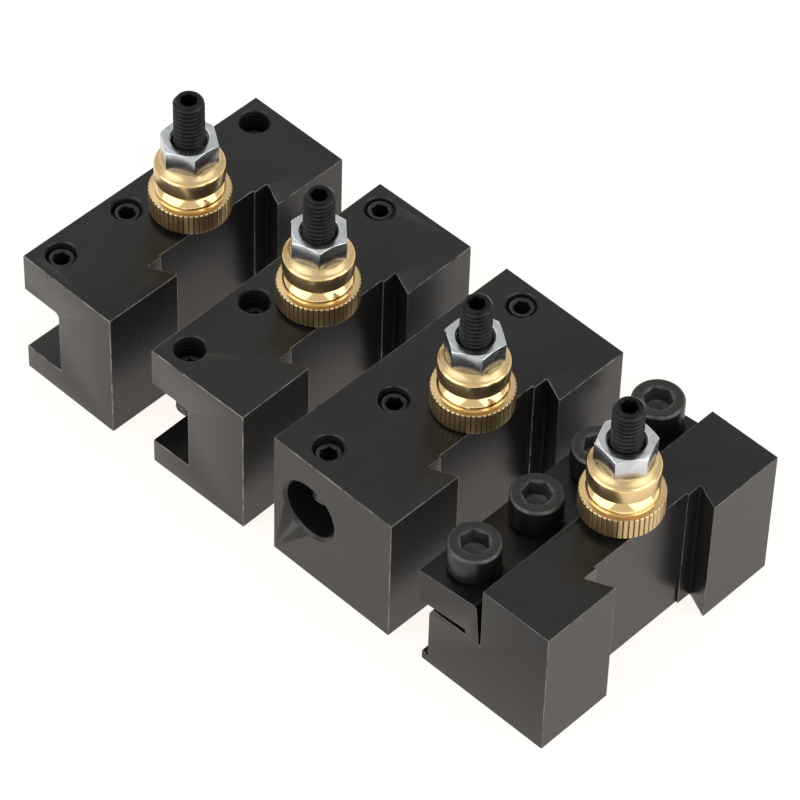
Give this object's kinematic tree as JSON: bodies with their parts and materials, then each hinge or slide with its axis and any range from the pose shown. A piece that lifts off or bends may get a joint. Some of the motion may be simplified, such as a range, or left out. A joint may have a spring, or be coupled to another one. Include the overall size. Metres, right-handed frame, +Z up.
{
  "type": "quick change tool holder set",
  "caption": "Dovetail tool holders for a lathe's quick change post: slotted, bored and blade clamping blocks, each with clamp screws and a brass height nut on a stud.",
  "frame": {"origin": "on the standing surface, below the middle of the row's bounding box", "axes": "+X across the row towards the dovetail faces, +Y along the tools, +Z up"},
  "size_m": [0.131, 0.0619, 0.0582],
  "materials": {
    "anodised": "satin black anodised, lightly machined",
    "oxide_stud": "black oxide, oiled",
    "oxide_screw": "black oxide, oiled",
    "oxide_cap": "black oxide, satin",
    "oxide_bar": "black oxide, satin, ground",
    "brass": "turned, polished waist, satin flange",
    "zinc": "bright zinc plated"
  },
  "bodies": {
    "turning_a_holder": {"turning_a_body": "anodised", "turning_a_stud": "oxide_stud"},
    "turning_a_lock_nut": {"turning_a_lock_nut": "zinc"},
    "turning_a_height_nut": {"turning_a_height_nut": "brass"},
    "turning_a_screw_1": {"turning_a_screw_1": "oxide_screw"},
    "turning_a_screw_2": {"turning_a_screw_2": "oxide_screw"},
    "turning_a_screw_3": {"turning_a_screw_3": "oxide_screw"},
    "turning_a_screw_4": {"turning_a_screw_4": "oxide_screw"},
    "turning_b_holder": {"turning_b_body": "anodised", "turning_b_stud": "oxide_stud"},
    "turning_b_lock_nut": {"turning_b_lock_nut": "zinc"},
    "turning_b_height_nut": {"turning_b_height_nut": "brass"},
    "turning_b_screw_1": {"turning_b_screw_1": "oxide_screw"},
    "turning_b_screw_2": {"turning_b_screw_2": "oxide_screw"},
    "turning_b_screw_3": {"turning_b_screw_3": "oxide_screw"},
    "turning_b_screw_4": {"turning_b_screw_4": "oxide_screw"},
    "boring_holder": {"boring_body": "anodised", "boring_stud": "oxide_stud"},
    "boring_lock_nut": {"boring_lock_nut": "zinc"},
    "boring_height_nut": {"boring_height_nut": "brass"},
    "boring_screw_1": {"boring_screw_1": "oxide_screw"},
    "boring_screw_2": {"boring_screw_2": "oxide_screw"},
    "boring_screw_3": {"boring_screw_3": "oxide_screw"},
    "boring_screw_4": {"boring_screw_4": "oxide_screw"},
    "parting_holder": {"parting_body": "anodised", "parting_stud": "oxide_stud"},
    "parting_lock_nut": {"parting_lock_nut": "zinc"},
    "parting_height_nut": {"parting_height_nut": "brass"},
    "parting_clamp": {"parting_clamp": "oxide_bar"},
    "parting_cap_screw_1": {"parting_cap_screw_1": "oxide_cap"},
    "parting_cap_screw_2": {"parting_cap_screw_2": "oxide_cap"},
    "parting_cap_screw_3": {"parting_cap_screw_3": "oxide_cap"},
    "parting_cap_screw_4": {"parting_cap_screw_4": "oxide_cap"}
  },
  "joints": [
    {"name": "turning_a_lift", "type": "slide", "parent": "parting_holder", "child": "turning_a_holder", "axis": [0, 0, 1], "range_m": [0, 0.065]},
    {"name": "turning_a_nut_climb", "type": "slide", "parent": "turning_a_holder", "child": "turning_a_lock_nut", "axis": [0, 0, 1], "range_m": [-0.0008, 0.006]},
    {"name": "turning_a_nut_turn", "type": "hinge", "parent": "turning_a_lock_nut", "child": "turning_a_height_nut", "pos_m": [-0.05255, -0.00021, 0.036], "axis": [0, 0, 1], "range_deg": [-289, 2161]},
    {"name": "turning_a_screw_1_travel", "type": "slide", "parent": "turning_a_holder", "child": "turning_a_screw_1", "axis": [0, 0, 1], "range_m": [-0.0052, 0.0042]},
    {"name": "turning_a_screw_2_travel", "type": "slide", "parent": "turning_a_holder", "child": "turning_a_screw_2", "axis": [0, 0, 1], "range_m": [-0.0054, 0.004]},
    {"name": "turning_a_screw_3_travel", "type": "slide", "parent": "turning_a_holder", "child": "turning_a_screw_3", "axis": [0, 0, 1], "range_m": [-0.0055, 0.0039]},
    {"name": "turning_a_screw_4_travel", "type": "slide", "parent": "turning_a_holder", "child": "turning_a_screw_4", "axis": [0, 0, 1], "range_m": [-0.0018, 0.0076]},
    {"name": "turning_b_lift", "type": "slide", "parent": "parting_holder", "child": "turning_b_holder", "axis": [0, 0, 1], "range_m": [0, 0.065]},
    {"name": "turning_b_nut_climb", "type": "slide", "parent": "turning_b_holder", "child": "turning_b_lock_nut", "axis": [0, 0, 1], "range_m": [-0.0004, 0.006]},
    {"name": "turning_b_nut_turn", "type": "hinge", "parent": "turning_b_lock_nut", "child": "turning_b_height_nut", "pos_m": [-0.01949, 0.0002, 0.036], "axis": [0, 0, 1], "range_deg": [-145, 2161]},
    {"name": "turning_b_screw_1_travel", "type": "slide", "parent": "turning_b_holder", "child": "turning_b_screw_1", "axis": [0, 0, 1], "range_m": [-0.0019, 0.0075]},
    {"name": "turning_b_screw_2_travel", "type": "slide", "parent": "turning_b_holder", "child": "turning_b_screw_2", "axis": [0, 0, 1], "range_m": [-0.0021, 0.0073]},
    {"name": "turning_b_screw_3_travel", "type": "slide", "parent": "turning_b_holder", "child": "turning_b_screw_3", "axis": [0, 0, 1], "range_m": [-0.0038, 0.0056]},
    {"name": "turning_b_screw_4_travel", "type": "slide", "parent": "turning_b_holder", "child": "turning_b_screw_4", "axis": [0, 0, 1], "range_m": [-0.0059, 0.0035]},
    {"name": "boring_lift", "type": "slide", "parent": "parting_holder", "child": "boring_holder", "axis": [0, 0, 1], "range_m": [0, 0.065]},
    {"name": "boring_nut_climb", "type": "slide", "parent": "boring_holder", "child": "boring_lock_nut", "axis": [0, 0, 1], "range_m": [-0.0002, 0.006]},
    {"name": "boring_nut_turn", "type": "hinge", "parent": "boring_lock_nut", "child": "boring_height_nut", "pos_m": [0.01815, 0.0016, 0.036], "axis": [0, 0, 1], "range_deg": [-73, 2161]},
    {"name": "boring_screw_1_travel", "type": "slide", "parent": "boring_holder", "child": "boring_screw_1", "axis": [0, 0, 1], "range_m": [-0.0021, 0.0069]},
    {"name": "boring_screw_2_travel", "type": "slide", "parent": "boring_holder", "child": "boring_screw_2", "axis": [0, 0, 1], "range_m": [-0.0026, 0.0064]},
    {"name": "boring_screw_3_travel", "type": "slide", "parent": "boring_holder", "child": "boring_screw_3", "axis": [0, 0, 1], "range_m": [-0.0025, 0.0065]},
    {"name": "boring_screw_4_travel", "type": "slide", "parent": "boring_holder", "child": "boring_screw_4", "axis": [0, 0, 1], "range_m": [-0.0032, 0.0058]},
    {"name": "parting_nut_climb", "type": "slide", "parent": "parting_holder", "child": "parting_lock_nut", "axis": [0, 0, 1], "range_m": [-0.0012, 0.006]},
    {"name": "parting_nut_turn", "type": "hinge", "parent": "parting_lock_nut", "child": "parting_height_nut", "pos_m": [0.05415, 0.00175, 0.036], "axis": [0, 0, 1], "range_deg": [-433, 2161]},
    {"name": "parting_clamp_tilt", "type": "hinge", "parent": "parting_holder", "child": "parting_clamp", "pos_m": [0.0495, 0, 0.01525], "axis": [0, 1, 0], "range_deg": [0, 4]},
    {"name": "parting_cap_screw_1_travel", "type": "slide", "parent": "parting_holder", "child": "parting_cap_screw_1", "axis": [0, 0, 1], "range_m": [0, 0.00042]},
    {"name": "parting_cap_screw_2_travel", "type": "slide", "parent": "parting_holder", "child": "parting_cap_screw_2", "axis": [0, 0, 1], "range_m": [0, 0.00042]},
    {"name": "parting_cap_screw_3_travel", "type": "slide", "parent": "parting_holder", "child": "parting_cap_screw_3", "axis": [0, 0, 1], "range_m": [0, 0.00042]},
    {"name": "parting_cap_screw_4_travel", "type": "slide", "parent": "parting_holder", "child": "parting_cap_screw_4", "axis": [0, 0, 1], "range_m": [0, 0.00042]}
  ],
  "couplings": [
    {"joint": "turning_a_nut_turn", "follows": "turning_a_nut_climb", "rad_per_m": 6283.2},
    {"joint": "turning_b_nut_turn", "follows": "turning_b_nut_climb", "rad_per_m": 6283.2},
    {"joint": "boring_nut_turn", "follows": "boring_nut_climb", "rad_per_m": 6283.2},
    {"joint": "parting_nut_turn", "follows": "parting_nut_climb", "rad_per_m": 6283.2},
    {"joint": "parting_clamp_tilt", "follows": "parting_cap_screw_1_travel", "rad_per_m": 166},
    {"joint": "parting_cap_screw_2_travel", "follows": "parting_cap_screw_1_travel", "ratio": 1},
    {"joint": "parting_cap_screw_3_travel", "follows": "parting_cap_screw_1_travel", "ratio": 1},
    {"joint": "parting_cap_screw_4_travel", "follows": "parting_cap_screw_1_travel", "ratio": 1}
  ]
}
